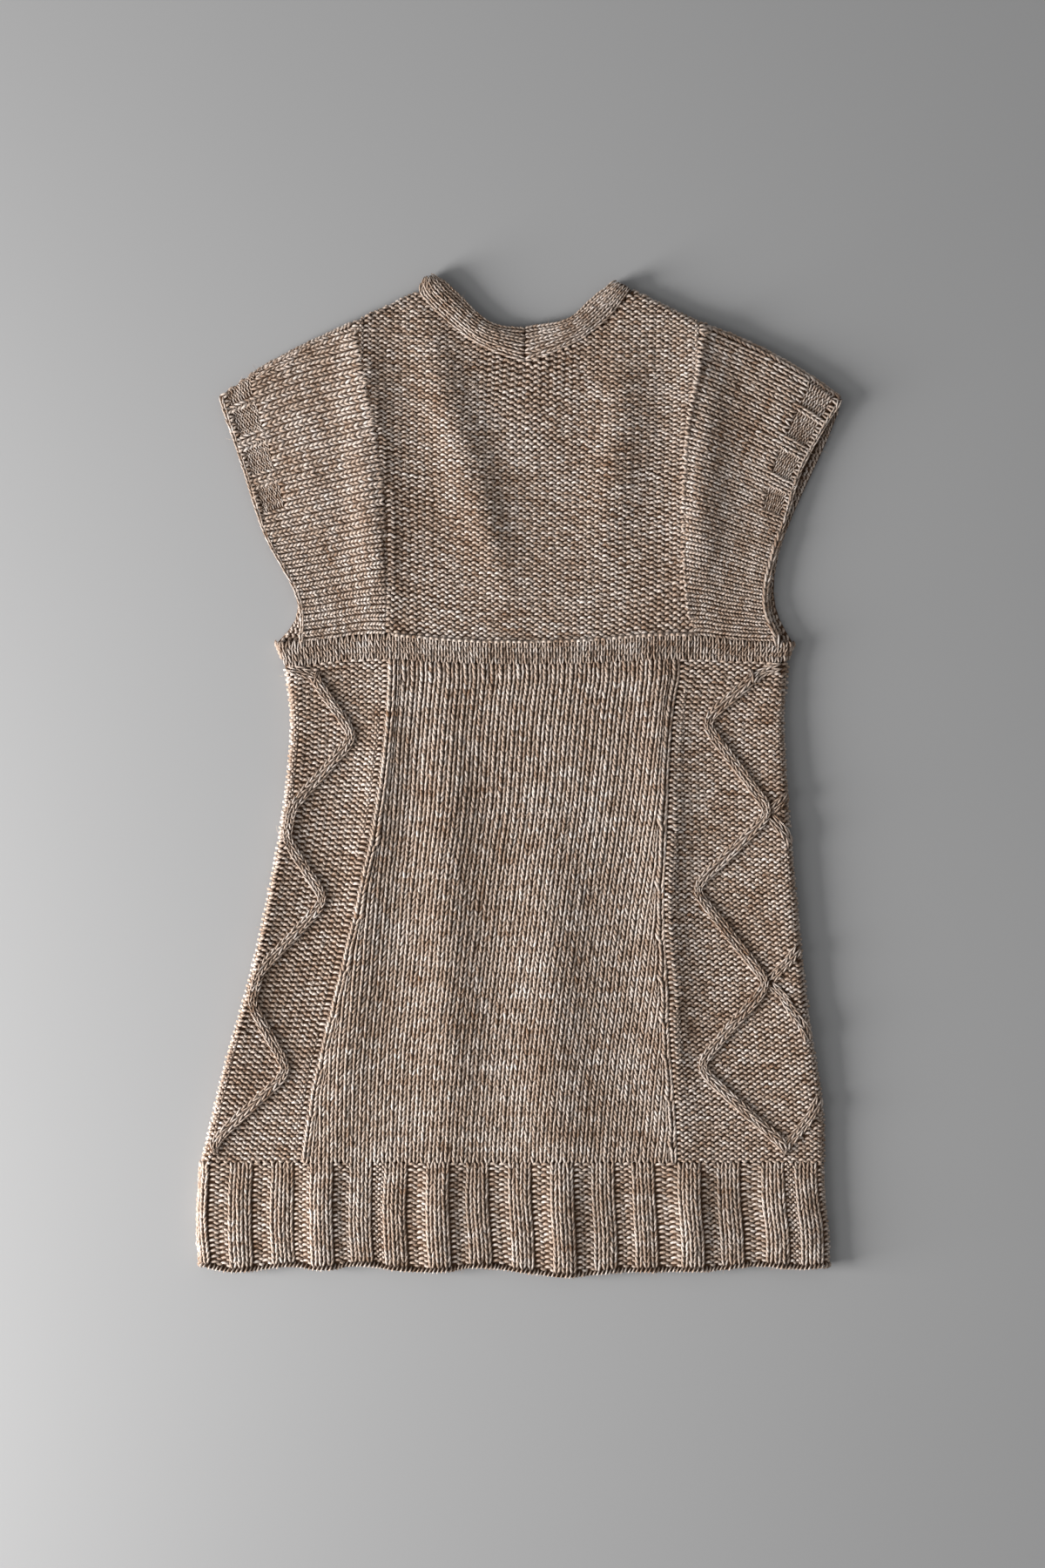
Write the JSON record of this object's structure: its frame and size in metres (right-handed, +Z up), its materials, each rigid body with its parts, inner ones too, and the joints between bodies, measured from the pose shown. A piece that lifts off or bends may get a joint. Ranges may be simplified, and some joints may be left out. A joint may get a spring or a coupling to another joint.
{
  "type": "knit dress",
  "caption": "Hand-knit tunic dress laid flat, back upwards: cap sleeves, rolled neckband, underbust band, travelling cables down the sides and a broad ribbed hem.",
  "frame": {"origin": "on the surface the dress lies on, under the middle of its box", "axes": "+Y from hem to neck, +X to the right of the dress as seen from above, +Z up; the back of the dress is the upper layer"},
  "size_m": [0.5467, 0.8486, 0.0138],
  "materials": {
    "plain_knit": "heathered beige brown wool, stocking stitch",
    "purl_knit": "heathered beige brown wool, reverse stocking stitch",
    "cable_knit": "heathered beige brown wool, raised travelling cable",
    "rib_knit": "heathered beige brown wool, three by two rib"
  },
  "bodies": {
    "root": {"back_yoke": "purl_knit", "front_yoke": "purl_knit", "sleeve_left": "plain_knit", "sleeve_right": "plain_knit", "neckband_left": "plain_knit", "neckband_right": "plain_knit", "underbust_band": "plain_knit", "skirt_back_panel": "plain_knit", "skirt_front_panel": "plain_knit", "side_panel_left": "purl_knit", "side_panel_right": "purl_knit", "cable_left": "cable_knit", "cable_right": "cable_knit", "hem_rib": "rib_knit"}
  },
  "joints": []
}
